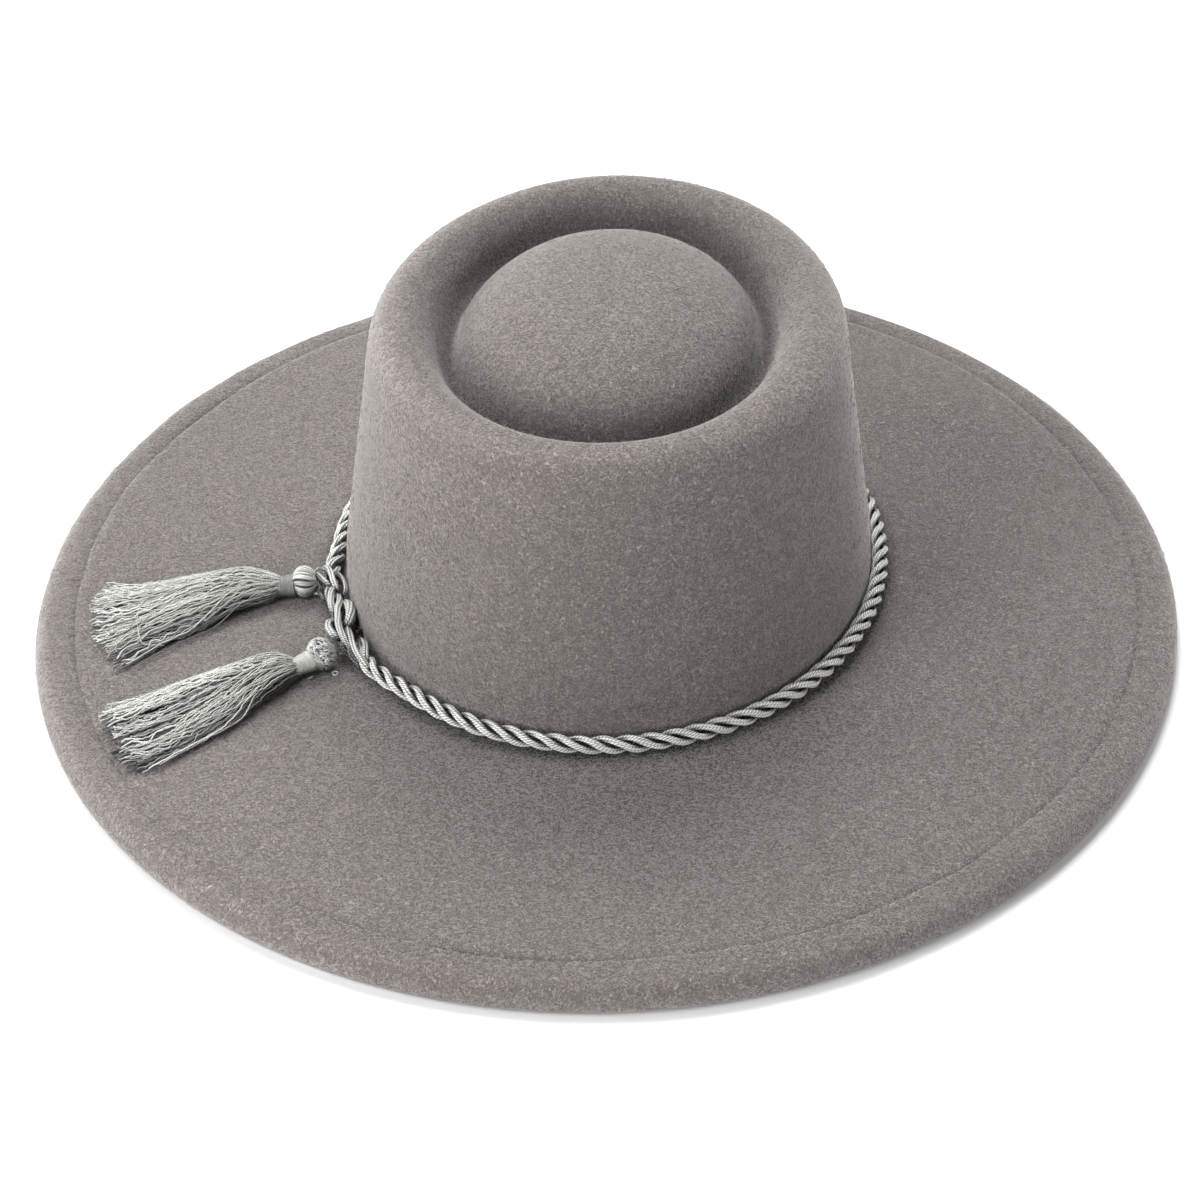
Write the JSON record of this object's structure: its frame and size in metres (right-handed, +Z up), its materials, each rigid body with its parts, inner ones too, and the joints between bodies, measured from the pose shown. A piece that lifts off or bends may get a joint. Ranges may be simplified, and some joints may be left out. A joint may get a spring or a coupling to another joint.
{
  "type": "flat brim hat",
  "caption": "Felt hat with a wide flat brim, a tapered oval crown with a grooved top and raised dome, and a twisted rope band tied at one side with tassels.",
  "frame": {"origin": "middle of the oval that the brim covers, at the height that the hem rests on", "axes": "+Z up through the crown, -Y to the front of the hat, -X to the side with the tassels"},
  "size_m": [0.37, 0.4012, 0.1105],
  "materials": {
    "felt": "warm light grey wool felt, matt, with a short brushed nap",
    "rope": "silver grey rayon yarn twisted in strands, satin sheen",
    "tassel_thread": "silver grey rayon thread, satin sheen"
  },
  "bodies": {
    "root": {"felt_body": "felt", "band_rope": "rope", "band_tie": "rope", "tassel_upper": "tassel_thread", "tassel_lower": "tassel_thread"}
  },
  "joints": []
}
